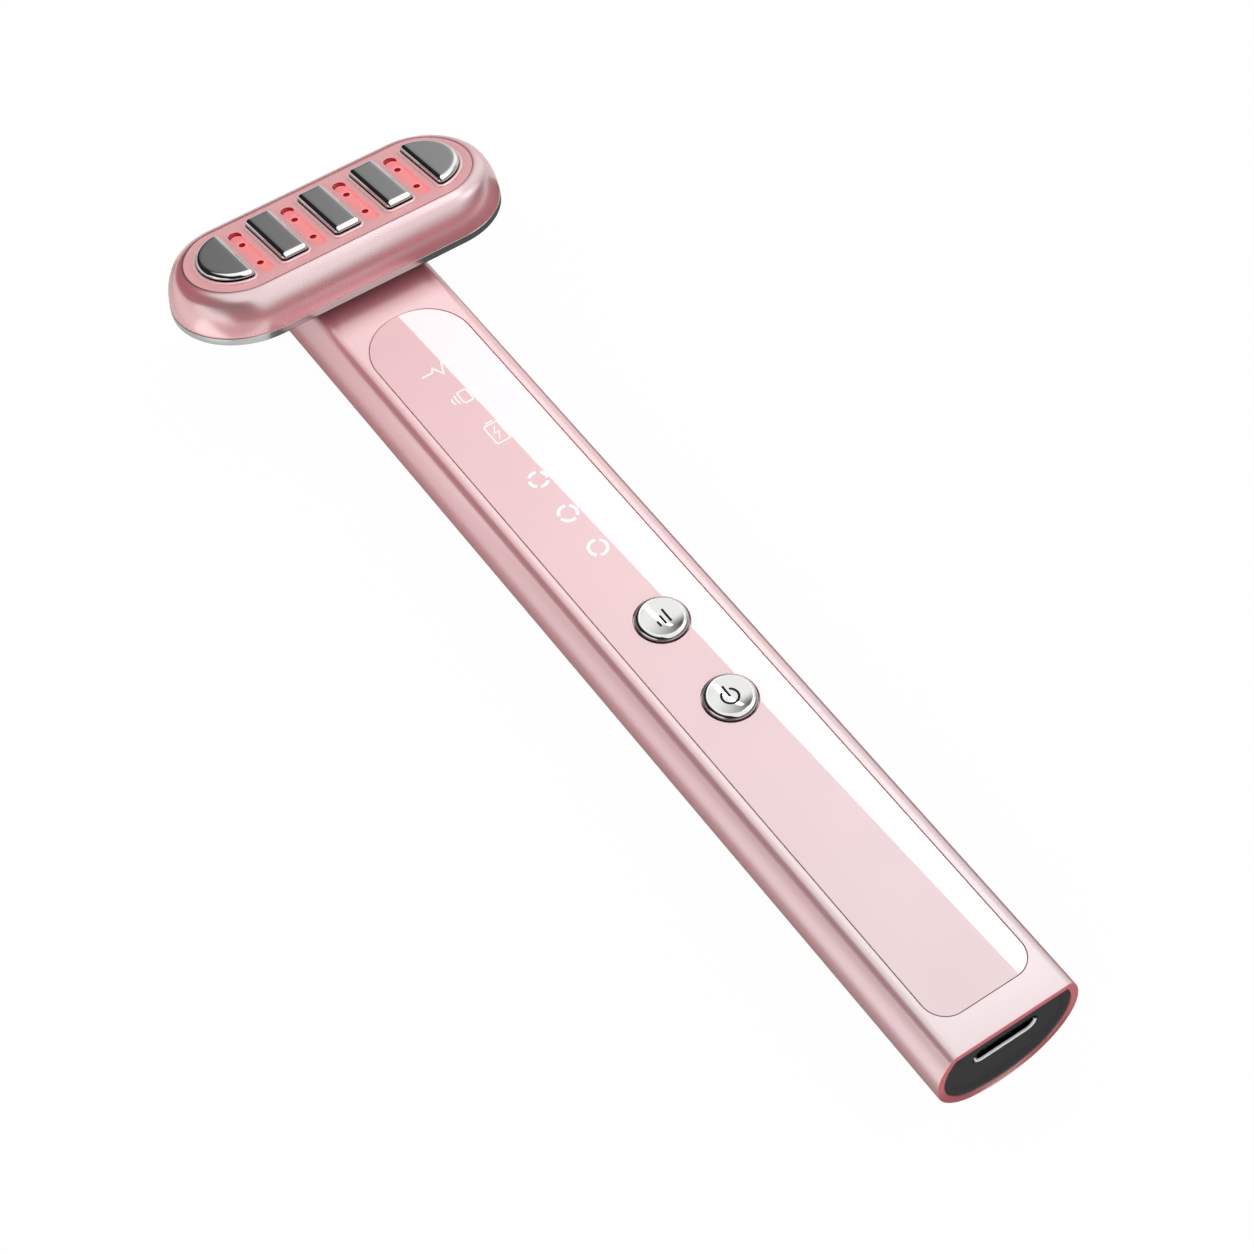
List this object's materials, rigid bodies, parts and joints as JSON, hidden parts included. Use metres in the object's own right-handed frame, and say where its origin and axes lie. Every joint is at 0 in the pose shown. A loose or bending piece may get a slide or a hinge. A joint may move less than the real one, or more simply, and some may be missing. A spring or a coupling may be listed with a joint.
{
  "type": "facial toning device",
  "caption": "T-shaped facial toning wand: D-section handle with a glossy button panel and a swivelling head of metal contact electrodes, red lamps and a charging port.",
  "frame": {"origin": "middle of the whole wand's bounding box in plan, on the surface that the handle's rounded back lies on", "axes": "+Y along the handle towards the head, +Z out of the flat face with the buttons, +X to the right when that face is seen with the head up"},
  "size_m": [0.0522, 0.1634, 0.024],
  "materials": {
    "rose_body": "satin",
    "panel_gloss": "gloss",
    "head_pink": "satin",
    "plate_pink": "gloss, slightly translucent",
    "base_silver": "polished",
    "electrode_chrome": "mirror",
    "button_chrome": "mirror",
    "clear_seal": "clear silicone",
    "cap_black": "satin",
    "steel": "bright",
    "board_green": "solder mask",
    "chip_black": "matt",
    "white_plastic": "matt",
    "light_clear": "frosted",
    "led_white": "gloss",
    "lamp_red": "gloss",
    "cell_foil": "foil",
    "foam_grey": "foam",
    "rubber_black": "matt",
    "bush_bronze": "turned",
    "weight_metal": "sintered",
    "wire_red": "insulation",
    "film_amber": "film"
  },
  "bodies": {
    "handle": {"handle_tube": "rose_body", "control_panel": "panel_gloss", "light_guide": "light_clear", "main_board": "board_green", "indicator_leds": "led_white", "main_chip": "chip_black", "mode_switch": "steel", "power_switch": "steel", "chassis": "white_plastic", "board_screws": "steel", "battery": "cell_foil", "battery_pad": "foam_grey", "battery_tabs": "cell_foil", "charge_board": "board_green", "charge_chip": "chip_black", "board_link": "chip_black", "usb_shell": "steel", "usb_tongue": "chip_black", "end_cap": "cap_black", "motor_sleeve": "rubber_black", "motor_can": "steel", "motor_contacts": "bush_bronze", "swivel_bush": "bush_bronze", "friction_washer": "rubber_black", "stop_pin": "steel", "head_lead": "wire_red", "lead_socket": "white_plastic"},
    "head": {"head_base": "base_silver", "base_screws": "steel", "head_shell": "head_pink", "face_plate": "plate_pink", "electrode_seals": "clear_seal", "electrode_left": "electrode_chrome", "electrode_bar_left": "electrode_chrome", "electrode_bar_centre": "electrode_chrome", "electrode_bar_right": "electrode_chrome", "electrode_right": "electrode_chrome", "heater_film": "film_amber", "lamp_baffle": "white_plastic", "head_board": "board_green", "red_lamps": "lamp_red", "head_socket": "white_plastic", "swivel_post": "steel", "post_screws": "steel", "wave_washer": "steel", "retaining_ring": "steel"},
    "rotor": {"motor_shaft": "steel", "eccentric_weight": "weight_metal"},
    "mode_key": {"mode_button": "button_chrome", "mode_plunger": "chip_black", "mode_clip": "steel"},
    "power_key": {"power_button": "button_chrome", "power_plunger": "chip_black", "power_clip": "steel"}
  },
  "joints": [
    {"name": "head_swivel", "type": "hinge", "parent": "handle", "child": "head", "pos_m": [0, 0.07042, 0.01457], "axis": [0, 0.1947, 0.9809], "range_deg": [-90, 90]},
    {"name": "mode_press", "type": "slide", "parent": "handle", "child": "mode_key", "axis": [0, 0, -1], "range_m": [0, 0.0003], "stiffness_N_per_m": 2000},
    {"name": "power_press", "type": "slide", "parent": "handle", "child": "power_key", "axis": [0, 0, -1], "range_m": [0, 0.0003], "stiffness_N_per_m": 2000},
    {"name": "motor_spin", "type": "hinge", "parent": "handle", "child": "rotor", "pos_m": [0, 0.02832, 0.0064], "axis": [0, 1, 0], "continuous": true}
  ]
}
